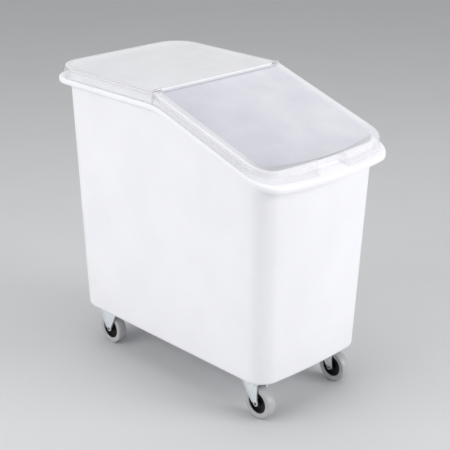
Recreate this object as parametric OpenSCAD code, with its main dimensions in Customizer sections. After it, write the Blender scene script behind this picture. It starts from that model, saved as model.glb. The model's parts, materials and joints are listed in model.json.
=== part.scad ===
// Rolling flour bin: a tapered white tub on four casters, with a clear two-piece lid hinged across the top.
// Front is -Y, the width runs along X, the floor is z = 0 and the origin lies under the middle of the rim.

/* [Tub] */
// Height of the tub's underside above the floor
tub_floor_z = 101; // [90:1:125]
// Height of the level part of the rim
rim_z = 712; // [640:1:800]
// Width of the tub at the level of the rim
tub_top_w = 387; // [370:1:389]
// Width of the tub at its underside
tub_low_w = 342; // [334:1:360]
// Rear wall at the level of the rim, behind the origin
tub_top_rear = 341; // [330:1:346]
// Rear wall at the underside, behind the origin
tub_low_rear = 334; // [325:1:340]
// Front wall at the level of the rim, ahead of the origin
tub_top_front = 346; // [335:1:350]
// Front wall at the underside, ahead of the origin
tub_low_front = 322; // [316:1:330]
// How far the front wall bows forward in the middle
tub_bow = 9; // [4:1:14]
// Radius of the upright corners
tub_corner_r = 50; // [40:1:60]
// Radius of the edge round the underside
tub_edge_r = 10; // [6:1:14]
// Thickness of the walls
tub_wall = 4; // [3:0.5:6]
// Thickness of the tub's floor
tub_floor_t = 5; // [4:0.5:8]

/* [Rim] */
// Slope of the front half of the rim, in degrees
slope = 18; // [14:1:22]
// Where the rim starts to fall, ahead of the origin
rim_break = 20; // [0:1:40]
// Width over the rim
rim_w = 416; // [410:1:430]
// Rear edge of the rim, behind the origin
rim_rear = 386; // [372:1:400]
// Front edge of the rim at its sides, ahead of the origin
rim_front = 369; // [362:1:380]
// How far the rim bows forward in the middle
rim_bow = 17; // [12:1:22]
// Radius of the rim's rear corners
rim_rear_r = 75; // [60:1:90]
// Radius of the rim's front corners
rim_front_r = 58; // [50:1:70]
// Height of the rim's outer lip
rim_h = 13; // [10:0.5:18]
// Thickness of the rim's plate and lip
rim_t = 4; // [3:0.5:6]
// Radius of the fold where the rim starts to fall
rim_fold_r = 200; // [60:10:260]
// Radius of the rim's outer top edge
rim_nose_r = 5; // [2:0.5:6]
// Gap between the top edge of the tub's neck and the lid over it
neck_gap = 3.5; // [1:0.5:6]

/* [Lid] */
// Thickness of the clear plastic
lid_t = 3; // [2:0.25:3.5]
// Width of the lid at its top edge
lid_w = 408; // [402:1:409]
// Rear edge of the cover, behind the origin
lid_rear = 361; // [354:1:366]
// Front edge of the flap at its sides, ahead of the origin
lid_front = 349; // [346:1:354]
// How far the flap bows forward in the middle
lid_bow = 22; // [17:1:24]
// Radius of the cover's rear corners
lid_rear_r = 70; // [60:1:74]
// Radius of the flap's front corners
lid_front_r = 54; // [48:1:58]
// Height of the cover above the level rim
cover_h = 30; // [30:0.5:34]
// Height of the flap above the sloping rim
flap_h = 24.5; // [24:0.5:28]
// Height of the cover's lower band
cover_band_h = 20; // [12:1:22]
// Height of the flap's lower band
flap_band_h = 12; // [8:1:14]
// How far the lower bands stand proud
band_step = 2.5; // [1.5:0.25:3]
// Width of the finger notch at the front of the flap
notch_w = 94; // [70:1:120]
// Radius of the corners of the finger notch
notch_r = 10; // [5:0.5:14]
// Gap between the back of the finger notch and the tub's neck
notch_gap = 1.2; // [0.5:0.1:2]
// Height of the finger gap under the back of the notch
notch_lift = 9; // [4:0.5:12]
// Radius of the lid's top edges
lid_edge_r = 2.5; // [1:0.25:3]

/* [Hinge] */
// Hinge axis, ahead of the origin
hinge_ahead = 9; // [5:0.5:14]
// Hinge axis above the top of the cover
hinge_rise = 1.5; // [1:0.25:3]
// Radius of the hinge knuckles
knuckle_r = 3.8; // [3.5:0.1:4.5]
// Diameter of the hinge pins
hinge_pin_d = 4; // [3:0.25:4.5]
// Length of a knuckle on the cover
cover_knuckle_l = 8; // [6:0.5:10]
// Length of a knuckle on the flap
flap_knuckle_l = 11; // [8:0.5:13]
// Distance of the outer knuckles from the lid's sides
knuckle_inset = 6; // [5:0.5:10]
// Gap between the cover's and the flap's edges
hinge_gap = 2; // [1.5:0.25:3]
// Depth of the stiffening lip under both edges
edge_lip_h = 6; // [4:0.5:8]

/* [Casters] */
// Distance between the left and right wheels
track = 260; // [240:1:266]
// Axles of the front wheels, ahead of the origin
front_axle = 282; // [276:1:288]
// Axles of the rear wheels, behind the origin
rear_axle = 258; // [240:1:262]
// Distance from the swivel axis to the wheel's axle
trail = 21; // [16:1:26]
// Length of a caster's top plate
plate_l = 76; // [72:1:80]
// Width of a caster's top plate
plate_w = 58; // [55:1:62]
// Thickness of the top plates and forks
plate_t = 3; // [2:0.25:3.5]
// Spacing of the plate's holes along the bin
hole_l = 58; // [56:1:60]
// Spacing of the plate's holes across the bin
hole_w = 44; // [44:0.5:46]
// Width of the fork's legs under the crown
fork_top = 50; // [44:1:52]
// Width of the turned edges along the legs
flange_w = 2; // [1:0.25:3]
// How far the turned edges stand out
flange_h = 2; // [1:0.25:3]
// Diameter of the bearing balls
ball_d = 6; // [5:0.25:7]
// Count of bearing balls
ball_count = 16; // [10:1:16]
// Radius of the ring of bearing balls
ball_ring_r = 18; // [17.5:0.5:20]
// Diameter of the kingpin
kingpin_d = 10; // [8:0.5:12]

/* [Wheels] */
// Diameter of the wheels
wheel_d = 80; // [70:1:84]
// Width of the tyres
tyre_w = 24; // [20:1:26]
// Height of the tread's crown
tyre_crown = 2; // [1:0.25:3]
// Diameter of the wheel hub
hub_d = 52; // [46:1:56]
// Width over the hub's bosses
hub_w = 27.4; // [26.5:0.1:29]
// Outer diameter of the axle sleeve
sleeve_d = 10; // [9:0.5:13]
// Diameter of the axle bolt
axle_d = 6; // [5:0.5:8]

/* [Fasteners] */
// Diameter of the bolts that hold the casters
bolt_d = 5; // [4:0.25:5]
// Thickness of the sealing washers
washer_t = 1.5; // [1:0.25:2]

/* [Hidden] */
$fn = 48;
// Arc steps of the outlines
corner_steps = 8;
front_steps = 14;
fold_steps = 8;
// One overrun for all cuts, the gap of a running fit and the gap under the lid
over = 1;
fit = 0.05;
seat = 0.3;

// Hexagons, heads, nuts and thread ends, as shares of the thread
hex_share = 1.85;
head_share = 0.65;
nut_share = 0.85;
end_share = 0.25;
dome_share = 1.1;
washer_share = 1.1;
// Low round head of an axle, as shares of the axle
axle_head_share = 0.7;
axle_head_h_share = 0.3;
axle_head_end_share = 0.45;
// Hinge webs as a share of the knuckle, and the flap's side of the hinge gap
knuckle_web_share = 2.4;
hinge_gap_share = 0.25;
// Caster forms as shares of the ball, the kingpin, the axle and the wheel
race_share = 0.2;
kingpin_head_share = 0.8;
eye_share = 1.1;
boss_share = 0.85;
felloe_share = 0.42;
felloe_w_share = 0.92;
web_share = 0.33;
// Width of the fork's crown outside the balls
crown_edge = 4;

// Levels and planes of the lid
cover_z = rim_z + cover_h;
fall = tan(slope);
slant_t = lid_t / cos(slope);
hinge_y = -hinge_ahead;
hinge_z = cover_z + hinge_rise;
cover_front = hinge_y + hinge_gap * (1 - hinge_gap_share);
flap_rear = hinge_y - hinge_gap * hinge_gap_share;
reach = rim_rear + rim_front;

// Neck of the tub under the lid, and how far its front stands ahead of the origin
neck_rear_h = cover_h - lid_t - neck_gap;
neck_front_h = flap_h - slant_t - neck_gap;
neck_front = mix(tub_low_front, tub_top_front, tub_share(slope_z(-lid_front) + neck_front_h)) + tub_bow;
notch_back = -neck_front - notch_gap - lid_t;

// Hinge knuckles, from the lid's sides inward
flap_knuckle_x = lid_w / 2 - knuckle_inset - flap_knuckle_l;
cover_knuckle_x = flap_knuckle_x - 2 * seat - cover_knuckle_l;
knuckle_room = knuckle_r + 2 * seat;
knuckle_web = knuckle_web_share * knuckle_r;

// Stack of a caster
axle_z = wheel_d / 2;
plate_low = tub_floor_z - plate_t;
race_depth = ball_d * race_share;
ball_z = plate_low + race_depth - fit - ball_d / 2;
crown_top = ball_z - ball_d / 2 - fit + race_depth;
crown_low = crown_top - plate_t;
crown_r = ball_ring_r + ball_d / 2 + crown_edge;
kingpin_head_r = kingpin_d * kingpin_head_share;
leg_in = hub_w / 2 + seat;
leg_out = leg_in + plate_t;
eye_r = axle_d * eye_share;
front_turn = -front_axle + trail;
plate_corner_r = bolt_d;

// Points of an arc
function arc(centre, r, from, to, steps) =
  [for (i = [0:steps]) let (a = from + (to - from) * i / steps) centre + r * [cos(a), sin(a)]];

// Plan outline of the bin: straight rear and sides, bowed front, four round corners
function outline(half_w, rear, front, bow, rear_r, front_r) =
  let (
    bow_r = (half_w * half_w + bow * bow) / (2 * bow),
    bow_y = bow_r - front - bow,
    corner_x = half_w - front_r,
    corner_y = bow_y - sqrt(pow(bow_r - front_r, 2) - corner_x * corner_x),
    turn = atan2(bow_y - corner_y, corner_x)
  )
  concat(
    arc([half_w - rear_r, rear - rear_r], rear_r, 0, 90, corner_steps),
    arc([rear_r - half_w, rear - rear_r], rear_r, 90, 180, corner_steps),
    arc([-corner_x, corner_y], front_r, 180, 180 + turn, corner_steps),
    [for (i = [1:front_steps - 1])
      let (a = 180 + turn + (180 - 2 * turn) * i / front_steps) [bow_r * cos(a), bow_y + bow_r * sin(a)]],
    arc([corner_x, corner_y], front_r, 360 - turn, 360, corner_steps)
  );

function mix(low, high, share) = low + (high - low) * share;

function tub_share(z) = (z - tub_floor_z) / (rim_z - tub_floor_z);

// Outline of the tub at a height, drawn in by an inset
function tub_outline(z, inset) =
  let (share = tub_share(z))
  outline(
    mix(tub_low_w, tub_top_w, share) / 2 - inset,
    mix(tub_low_rear, tub_top_rear, share) - inset,
    mix(tub_low_front, tub_top_front, share) - inset,
    tub_bow, tub_corner_r - inset, tub_corner_r - inset
  );

function rim_outline(inset) =
  outline(
    rim_w / 2 - inset, rim_rear - inset, rim_front - inset, rim_bow, rim_rear_r - inset, rim_front_r - inset
  );

function lid_outline(grow) =
  outline(
    lid_w / 2 + grow, lid_rear + grow, lid_front + grow, lid_bow, lid_rear_r + grow, lid_front_r + grow
  );

// Height of the sloping rim plane at y, and the place where a raised copy of it meets a level
function slope_z(y) = rim_z + (y + rim_break) * fall;
function meet_y(level, rise) = (level - rise) / fall - rim_break;

// Points of the rounded fold of the rim line, raised by one height over the level and another over the slope
function fold_points(rear_rise, front_rise) =
  arc(
    [meet_y(rear_rise, front_rise) + rim_fold_r * tan(slope / 2), rim_z + rear_rise - rim_fold_r],
    rim_fold_r, 90, 90 + slope, fold_steps
  );

// A side profile swept across the whole width
module across(points) {
  translate([-rim_w, 0, 0]) rotate([90, 0, 90]) linear_extrude(2 * rim_w) polygon(points);
}

// A plan outline swept through the whole height
module upright(points) {
  linear_extrude(2 * cover_z) polygon(points);
}

// The space under the rim line, raised by one height over the level part and another over the slope
module below_rim(rear_rise, front_rise) {
  across(concat(
    [[-reach, 0], [reach, 0], [reach, rim_z + rear_rise]],
    fold_points(rear_rise, front_rise),
    [[-reach, slope_z(-reach) + front_rise]]
  ));
}

// A tapered block with a round lower edge, from a floor up to past the mouth
module tub_block(floor_z, inset, edge_r) {
  hull() {
    for (a = [0:30:90])
      let (z = floor_z + edge_r * (1 - sin(a)))
      translate([0, 0, z]) linear_extrude(fit) polygon(tub_outline(z, inset + edge_r * (1 - cos(a))));
    translate([0, 0, cover_z]) linear_extrude(fit) polygon(tub_outline(cover_z, inset));
  }
}

// A block up to the rim line, drawn in from the rim's edge and lowered from its top face
module rim_block(inset, drop) {
  intersection() {
    upright(rim_outline(inset));
    below_rim(-drop, -drop);
  }
}

// The rim: a plate with a round nose and a turned-down lip
module rim() {
  difference() {
    hull() for (a = [0:30:90]) rim_block(rim_nose_r * (1 - cos(a)), rim_nose_r * (1 - sin(a)));
    rim_block(rim_t, rim_t);
    below_rim(-rim_h, -rim_h);
  }
}

// The flat middle of the floor, between two heights above the underside
module floor_slab(low, top) {
  translate([0, 0, tub_floor_z + low])
    linear_extrude(top - low) polygon(tub_outline(tub_floor_z, tub_edge_r + over));
}

module at_caster_holes() {
  for (x = [-1, 1], y = [front_turn, rear_axle], hole_x = [-1, 1], hole_y = [-1, 1])
    translate([x * track / 2 + hole_x * hole_w / 2, y + hole_y * hole_l / 2, 0]) children();
}

module tub() {
  color("white")
  difference() {
    union() {
      intersection() {
        tub_block(tub_floor_z, 0, tub_edge_r);
        below_rim(neck_rear_h, neck_front_h);
      }
      rim();
    }
    tub_block(tub_floor_z + tub_floor_t, tub_wall, tub_edge_r - tub_wall);
    floor_slab(-over, tub_floor_t + over);
  }
}

// Flat middle of the tub's floor, moulded in one with the walls round it and drilled for the casters
module tub_floor() {
  color("white")
  difference() {
    floor_slab(0, tub_floor_t);
    at_caster_holes() cylinder(h = tub_floor_z + 2 * tub_floor_t, d = bolt_d + 2 * fit);
  }
}

// The finger notch at the front of the flap, open to the front and cut through the whole height
module notch(grow) {
  half = notch_w / 2 + grow;
  back = notch_back + grow;
  r = notch_r + grow;
  linear_extrude(2 * cover_z) {
    translate([-half, back - r - reach]) square([2 * half, reach]);
    translate([r - half, back - r]) square([2 * (half - r), r]);
    for (side = [-1, 1]) translate([side * (half - r), back - r]) circle(r);
  }
}

// Level layer of the cover between two heights above the rim, behind the hinge
module cover_layer(low, top, extra) {
  across([
    [cover_front - extra, rim_z + low], [reach, rim_z + low],
    [reach, rim_z + top], [cover_front - extra, rim_z + top]
  ]);
}

// Sloping layer of the flap between two heights above the rim, ahead of the hinge
module flap_layer(low, top, extra) {
  rear = flap_rear + extra;
  across([
    [-reach, slope_z(-reach) + low], [-rim_break, rim_z + low], [rear, rim_z + low],
    [rear, slope_z(rear) + top], [-reach, slope_z(-reach) + top]
  ]);
}

// Solid of the cover with its proud lower band and an eased top edge, carried on below the rim line
module cover_form(grow, roof, edge_r, extra) {
  hull() for (a = [0:30:90])
    intersection() {
      upright(lid_outline(grow - edge_r * (1 - cos(a))));
      cover_layer(-rim_h, cover_h - roof - edge_r * (1 - sin(a)), extra);
    }
  intersection() {
    upright(lid_outline(grow + band_step));
    cover_layer(-rim_h, cover_band_h - roof, extra);
  }
}

// Solid of the flap with its proud lower band and an eased top edge, carried on below the rim line
module flap_form(grow, roof, edge_r, extra) {
  hull() for (a = [0:30:90])
    intersection() {
      upright(lid_outline(grow - edge_r * (1 - cos(a))));
      flap_layer(-rim_h, flap_h - roof - edge_r * (1 - sin(a)), extra);
    }
  intersection() {
    upright(lid_outline(grow + band_step));
    flap_layer(-rim_h, flap_band_h - roof, extra);
  }
}

// The finger gap under the back wall of the notch
module finger_gap() {
  half = notch_w / 2 - notch_r;
  intersection() {
    translate([-half, notch_back - over, 0]) cube([2 * half, lid_t + 2 * over, 2 * cover_z]);
    flap_layer(-rim_h, notch_lift, 0);
  }
}

// A cylinder along X on the hinge axis, on both sides of the bin
module hinge_barrels(x, l, r) {
  for (side = [-1, 1])
    translate([side * (x + l / 2), hinge_y, hinge_z])
      rotate([0, 90, 0]) cylinder(h = l, r = r, center = true);
}

// A side profile swept to the width of the knuckles at x, on both sides of the bin
module hinge_webs(x, l, points) {
  for (side = [-1, 1])
    translate([side * (x + l / 2) - l / 2, 0, 0]) rotate([90, 0, 90]) linear_extrude(l) polygon(points);
}

module rear_cover() {
  web_y = hinge_y + knuckle_web;
  low_z = cover_z - lid_t;
  color("lightsteelblue", 0.5)
  difference() {
    union() {
      difference() {
        cover_form(0, 0, lid_edge_r, 0);
        cover_form(-lid_t, lid_t, 0, over);
        below_rim(seat, seat);
      }
      translate([-cover_knuckle_x + lid_t, cover_front, low_z - edge_lip_h])
        cube([2 * (cover_knuckle_x - lid_t), lid_t, edge_lip_h + lid_t / 2]);
      hinge_barrels(cover_knuckle_x, cover_knuckle_l, knuckle_r);
      hinge_webs(cover_knuckle_x, cover_knuckle_l,
        [[cover_front, low_z], [web_y, low_z], [web_y, cover_z], [hinge_y, hinge_z]]);
    }
    hinge_barrels(flap_knuckle_x - 2 * seat, flap_knuckle_l + 3 * seat, knuckle_room);
    hinge_barrels(cover_knuckle_x - over, cover_knuckle_l + 2 * over, hinge_pin_d / 2 + fit);
  }
}

module front_flap() {
  web_y = hinge_y - knuckle_web;
  color("lightsteelblue", 0.5)
  difference() {
    union() {
      difference() {
        flap_form(0, 0, lid_edge_r, 0);
        notch(0);
        difference() {
          flap_form(-lid_t, slant_t, 0, over);
          notch(lid_t);
        }
        finger_gap();
        below_rim(seat, seat);
      }
      intersection() {
        translate([-cover_knuckle_x + lid_t, flap_rear - lid_t, 0])
          cube([2 * (cover_knuckle_x - lid_t), lid_t, 2 * cover_z]);
        flap_layer(flap_h - slant_t - edge_lip_h, flap_h - slant_t / 2, 0);
      }
      hinge_barrels(flap_knuckle_x, flap_knuckle_l, knuckle_r);
      hinge_webs(flap_knuckle_x, flap_knuckle_l, [
        [hinge_y, hinge_z], [web_y, slope_z(web_y) + flap_h],
        [web_y, slope_z(web_y) + flap_h - slant_t], [flap_rear, slope_z(flap_rear) + flap_h - slant_t]
      ]);
    }
    hinge_barrels(cover_knuckle_x - seat, cover_knuckle_l + 3 * seat, knuckle_room);
    hinge_barrels(flap_knuckle_x - over, flap_knuckle_l + 2 * over, hinge_pin_d / 2 + fit);
  }
}

module hinge_pin(side) {
  l = cover_knuckle_l + flap_knuckle_l + 2 * seat;
  color("silver")
    translate([side * (cover_knuckle_x + l / 2), hinge_y, hinge_z])
    rotate([0, 90, 0]) cylinder(h = l, d = hinge_pin_d, center = true);
}

// Screws that hold the four casters: round heads inside the tub, nuts under the plates
module plate_bolts() {
  seat_z = tub_floor_z + tub_floor_t + washer_t;
  low_z = plate_low - bolt_d * (nut_share + end_share);
  color("silver")
  at_caster_holes() {
    translate([0, 0, low_z]) cylinder(h = seat_z - low_z + over / 2, d = bolt_d);
    translate([0, 0, seat_z]) intersection() {
      cylinder(h = bolt_d, r = bolt_d);
      translate([0, 0, -bolt_d * head_share]) sphere(bolt_d * dome_share);
    }
  }
}

module sealing_washers() {
  color("dimgray")
  at_caster_holes() translate([0, 0, tub_floor_z + tub_floor_t]) difference() {
    cylinder(h = washer_t, r = bolt_d * washer_share);
    translate([0, 0, -over]) cylinder(h = washer_t + 2 * over, d = bolt_d + 2 * fit);
  }
}

module hex_nut(d) {
  difference() {
    cylinder(h = d * nut_share, d = d * hex_share, $fn = 6);
    translate([0, 0, -over]) cylinder(h = d * nut_share + 2 * over, d = d + 2 * fit);
  }
}

module plate_nuts() {
  color("silver") at_caster_holes() translate([0, 0, plate_low - bolt_d * nut_share]) hex_nut(bolt_d);
}

module at_front(side) {
  translate([side * track / 2, front_turn, 0]) children();
}

module at_rear(side) {
  translate([side * track / 2, rear_axle, 0]) children();
}

// Groove that the bearing balls run in, with a gap round the balls
module ball_race(gap) {
  translate([0, 0, ball_z]) rotate_extrude() translate([ball_ring_r, 0]) circle(ball_d / 2 + gap);
}

// Drilled plate with round corners under the tub
module drilled_plate() {
  difference() {
    translate([0, 0, plate_low]) linear_extrude(plate_t) {
      square([plate_w - 2 * plate_corner_r, plate_l], center = true);
      square([plate_w, plate_l - 2 * plate_corner_r], center = true);
      for (x = [-1, 1], y = [-1, 1])
        translate([x * (plate_w / 2 - plate_corner_r), y * (plate_l / 2 - plate_corner_r)])
          circle(plate_corner_r);
    }
    for (x = [-1, 1], y = [-1, 1])
      translate([x * hole_w / 2, y * hole_l / 2, plate_low - over])
        cylinder(h = plate_t + 2 * over, d = bolt_d + 2 * fit);
  }
}

// Where the straight side of a leg, drawn from a top corner, touches the round eye at its foot
function eye_touch(corner, eye, side) =
  let (d = corner - eye, a = atan2(d[1], d[0]) - side * acos(eye_r / norm(d)))
  eye + eye_r * [cos(a), sin(a)];

// Turned edge along one side of a leg, from the crown's level to just above the eye
module leg_edge(corner, eye, side) {
  foot = eye_touch(corner, eye, side);
  up = (corner - foot) / norm(corner - foot);
  top = foot + up * (crown_low - foot[1]) / up[1];
  low = foot + up * eye_r;
  inward = (eye - foot) / eye_r * flange_w;
  polygon([top, low, low + inward, top + inward]);
}

// Two fork legs: a side profile that tapers from the crown down to the axle's eye, with turned edges
module fork_legs(top_z, top_half, eye_y) {
  eye = [eye_y, axle_z];
  rear_top = [top_half, top_z];
  front_top = [-top_half, top_z];
  for (side = [0, 1])
    mirror([side, 0, 0]) translate([leg_in, 0, 0]) rotate([90, 0, 90]) {
      linear_extrude(plate_t) difference() {
        union() {
          polygon([front_top, eye_touch(front_top, eye, -1), eye_touch(rear_top, eye, 1), rear_top]);
          translate(eye) circle(eye_r);
        }
        translate(eye) circle(axle_d / 2 + fit);
      }
      linear_extrude(plate_t + flange_h) {
        leg_edge(front_top, eye, -1);
        leg_edge(rear_top, eye, 1);
      }
    }
}

module top_plate(side) {
  color("silver") at_front(side) difference() {
    drilled_plate();
    ball_race(seat);
    translate([0, 0, plate_low])
      cylinder(h = plate_t, d1 = kingpin_d + 2 * fit, d2 = 2 * (kingpin_head_r + fit));
    translate([0, 0, plate_low - over]) cylinder(h = 2 * over, d = kingpin_d + 2 * fit);
  }
}

module kingpin(side) {
  low_z = crown_low - seat - plate_t;
  color("silver") at_front(side) {
    translate([0, 0, low_z]) cylinder(h = plate_t, r = kingpin_head_r);
    translate([0, 0, low_z]) cylinder(h = plate_low - low_z, d = kingpin_d);
    translate([0, 0, plate_low]) cylinder(h = plate_t, d1 = kingpin_d, d2 = 2 * kingpin_head_r);
  }
}

module bearing_balls(side) {
  color("gray") at_front(side)
    for (i = [0:ball_count - 1])
      rotate(360 * i / ball_count) translate([ball_ring_r, 0, ball_z]) sphere(d = ball_d);
}

module fork(side) {
  color("silver") at_front(side) difference() {
    union() {
      translate([0, 0, crown_low]) linear_extrude(plate_t) {
        circle(crown_r);
        square([2 * leg_out, fork_top], center = true);
      }
      fork_legs(crown_low + plate_t / 2, fork_top / 2, -trail);
    }
    ball_race(fit);
    translate([0, 0, crown_low - over]) cylinder(h = plate_t + 2 * over, d = kingpin_d + 2 * fit);
  }
}

module bracket(side) {
  color("silver") at_rear(side) {
    drilled_plate();
    fork_legs(plate_low, plate_l / 2 - plate_t, 0);
  }
}

// Pieces on an axle, drawn about the middle of the wheel with the axle along X
module at_axle(front, side) {
  translate([side * track / 2, front ? -front_axle : rear_axle, axle_z]) rotate([0, side * 90, 0]) children();
}

module axle_sleeve(front, side) {
  color("gray") at_axle(front, side) difference() {
    cylinder(h = 2 * leg_in, d = sleeve_d, center = true);
    cylinder(h = 2 * leg_in + 2 * over, d = axle_d + 2 * fit, center = true);
  }
}

module axle_bolt(front, side) {
  low = leg_out + axle_d * (nut_share + end_share);
  color("silver") at_axle(front, side) {
    translate([0, 0, -low]) cylinder(h = low + leg_out, d = axle_d);
    translate([0, 0, leg_out])
      cylinder(
        h = axle_d * axle_head_h_share, r1 = axle_d * axle_head_share, r2 = axle_d * axle_head_end_share
      );
  }
}

module axle_nut(front, side) {
  color("silver") at_axle(front, side) translate([0, 0, -leg_out - axle_d * nut_share]) hex_nut(axle_d);
}

module hub(front, side) {
  bore_r = sleeve_d / 2 + fit;
  boss_r = sleeve_d * boss_share;
  felloe_r = hub_d * felloe_share;
  felloe_w = tyre_w * felloe_w_share;
  web_t = tyre_w * web_share;
  color("dimgray") at_axle(front, side) rotate_extrude() {
    translate([bore_r, -hub_w / 2]) square([boss_r - bore_r, hub_w]);
    translate([bore_r, -web_t / 2]) square([felloe_r - bore_r, web_t]);
    translate([felloe_r, -felloe_w / 2]) square([hub_d / 2 - felloe_r, felloe_w]);
  }
}

module tyre(front, side) {
  crown_curve_r = (pow(tyre_w / 2, 2) + pow(tyre_crown, 2)) / (2 * tyre_crown);
  color("lightgray") at_axle(front, side) rotate_extrude() intersection() {
    translate([hub_d / 2 + fit, -tyre_w / 2]) square([wheel_d / 2, tyre_w]);
    translate([wheel_d / 2 - crown_curve_r, 0]) circle(crown_curve_r);
  }
}

tub();
tub_floor();
rear_cover();
front_flap();
hinge_pin(-1);  // hinge_pin_left
hinge_pin(1);  // hinge_pin_right
plate_bolts();
sealing_washers();
plate_nuts();
top_plate(-1);  // front_left_top_plate
kingpin(-1);  // front_left_kingpin
bearing_balls(-1);  // front_left_bearing_balls
fork(-1);  // front_left_fork
axle_sleeve(true, -1);  // front_left_axle_sleeve
axle_bolt(true, -1);  // front_left_axle_bolt
axle_nut(true, -1);  // front_left_axle_nut
hub(true, -1);  // front_left_hub
tyre(true, -1);  // front_left_tyre
top_plate(1);  // front_right_top_plate
kingpin(1);  // front_right_kingpin
bearing_balls(1);  // front_right_bearing_balls
fork(1);  // front_right_fork
axle_sleeve(true, 1);  // front_right_axle_sleeve
axle_bolt(true, 1);  // front_right_axle_bolt
axle_nut(true, 1);  // front_right_axle_nut
hub(true, 1);  // front_right_hub
tyre(true, 1);  // front_right_tyre
bracket(-1);  // rear_left_bracket
axle_sleeve(false, -1);  // rear_left_axle_sleeve
axle_bolt(false, -1);  // rear_left_axle_bolt
axle_nut(false, -1);  // rear_left_axle_nut
hub(false, -1);  // rear_left_hub
tyre(false, -1);  // rear_left_tyre
bracket(1);  // rear_right_bracket
axle_sleeve(false, 1);  // rear_right_axle_sleeve
axle_bolt(false, 1);  // rear_right_axle_bolt
axle_nut(false, 1);  // rear_right_axle_nut
hub(false, 1);  // rear_right_hub
tyre(false, 1);  // rear_right_tyre
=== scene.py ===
"""Looks of a rolling flour bin: a white moulded tub, a clear split lid and four casters on a pale floor."""

import json
import math
from collections import namedtuple

import bmesh
import bpy
from mathutils import Matrix, Vector


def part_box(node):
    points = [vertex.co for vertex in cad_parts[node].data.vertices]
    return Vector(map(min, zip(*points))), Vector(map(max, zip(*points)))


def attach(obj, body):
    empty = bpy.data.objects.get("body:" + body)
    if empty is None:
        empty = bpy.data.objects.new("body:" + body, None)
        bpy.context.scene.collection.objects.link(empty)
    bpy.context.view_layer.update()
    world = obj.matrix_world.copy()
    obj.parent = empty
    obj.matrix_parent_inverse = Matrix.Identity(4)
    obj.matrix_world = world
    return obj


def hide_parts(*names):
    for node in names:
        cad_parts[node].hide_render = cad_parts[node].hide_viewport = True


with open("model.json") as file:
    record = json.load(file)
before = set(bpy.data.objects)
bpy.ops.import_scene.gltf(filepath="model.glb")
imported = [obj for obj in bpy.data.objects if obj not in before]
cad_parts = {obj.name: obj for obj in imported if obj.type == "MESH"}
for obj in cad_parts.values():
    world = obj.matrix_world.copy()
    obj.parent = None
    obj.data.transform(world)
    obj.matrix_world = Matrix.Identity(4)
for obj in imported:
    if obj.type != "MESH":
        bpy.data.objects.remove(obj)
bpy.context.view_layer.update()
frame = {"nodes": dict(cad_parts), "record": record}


def extent(node):
    """Width, length and height of a CAD node."""
    low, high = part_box(node)
    return high - low


# Tub, in metres
TUB_LOW, TUB_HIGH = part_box("tub")
TUB_FLOOR_Z = TUB_LOW.z
RIM_Z = 0.712
TUB_TOP = {"half_w": 0.1935, "rear": 0.341, "front": 0.346}
TUB_FOOT = {"half_w": 0.171, "rear": 0.334, "front": 0.322}
TUB_BOW = 0.009
TUB_CORNER_R = 0.050
TUB_EDGE_R = 0.010
TUB_WALL = 0.004
TUB_FLOOR_T = 0.005
NECK_EDGE_R = 0.0015
WALL_SHARES = (0.2, 0.4, 0.6, 0.8)
INNER_WALL_SHARES = (0.8, 0.4)

# Rim of the tub
SLOPE = math.radians(18)
FALL = math.tan(SLOPE)
RIM_BREAK_Y = -0.020
RIM_FOLD_R = 0.20
RIM_HALF_W = TUB_HIGH.x
RIM_REAR = TUB_HIGH.y
RIM_BOW = 0.017
RIM_FRONT = -TUB_LOW.y - RIM_BOW
RIM_REAR_R = 0.075
RIM_FRONT_R = 0.058
RIM_H = 0.013
RIM_T = 0.004
RIM_NOSE_R = 0.005
RIM_ROOT_R = 0.003

# Lid
LID_T = 0.003
LID_HALF_W = 0.204
LID_REAR = 0.361
LID_FRONT = 0.349
LID_BOW = 0.022
LID_REAR_R = 0.070
LID_FRONT_R = 0.054
LID_EDGE_R = 0.0025
LID_SEAT = 0.0003
NECK_GAP = 0.0035
COVER_H = 0.030
FLAP_H = 0.0245
COVER_BAND_H = 0.020
FLAP_BAND_H = 0.012
BAND_STEP = 0.0025
BAND_EDGE_R = 0.001
EDGE_LINE = 0.0015
SLANT_T = LID_T / math.cos(SLOPE)
COVER_Z = RIM_Z + COVER_H
NECK_REAR_H = COVER_H - LID_T - NECK_GAP
NECK_FRONT_H = FLAP_H - SLANT_T - NECK_GAP

# Hazy window in the face of each half of the lid, a shallow step below the border
COVER_WINDOW_IN = 0.0105
FLAP_WINDOW_IN = 0.021
FLAP_WINDOW_FRONT_IN = 0.0195
COVER_WINDOW_HINGE_IN = 0.0042
FLAP_WINDOW_HINGE_IN = 0.0075
WINDOW_STEP = 0.0005
WINDOW_LINE = 0.0008
HINGE_LINE = 0.0018
BORDER_HAZE = 0.5

# Painted light on the lid: painted highlight above 0, painted shade below; the skirt is whitened by a
# weaker painted highlight
SKIRT_HIGHLIGHT = 0.5
TOP_EDGE_HIGHLIGHTS = (0.7, 0.9, 1, 1, 0.7, SKIRT_HIGHLIGHT)
TOP_EDGE_HAZE = (BORDER_HAZE, 0.3, 0, 0, 0, 0)
BAND_EDGE_HIGHLIGHTS = (0.4, 1, 1, SKIRT_HIGHLIGHT)
# Painted shade: in the crease of the band, along the skirt's foot, round each window and beside the flap's
# hinge
CREASE_SHADE = -0.7
FOOT_SHADE = -0.22
FOOT_LINE = 0.005
WINDOW_SHADE = -0.25
BORDER_HIGHLIGHT = 0.7
HINGE_HIGHLIGHT = 0.3
FLAP_HINGE_SHADE = -0.75

# Where a window's painted shade of the tub's inside deepens to the left, and where the skirt clears towards
# the front
PAINTED_SHADE_DEEP_X = -0.19
PAINTED_SHADE_END_X = 0.02
FRONT_FADE_Y = -0.28
FRONT_CLEAR_Y = -0.34

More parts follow.
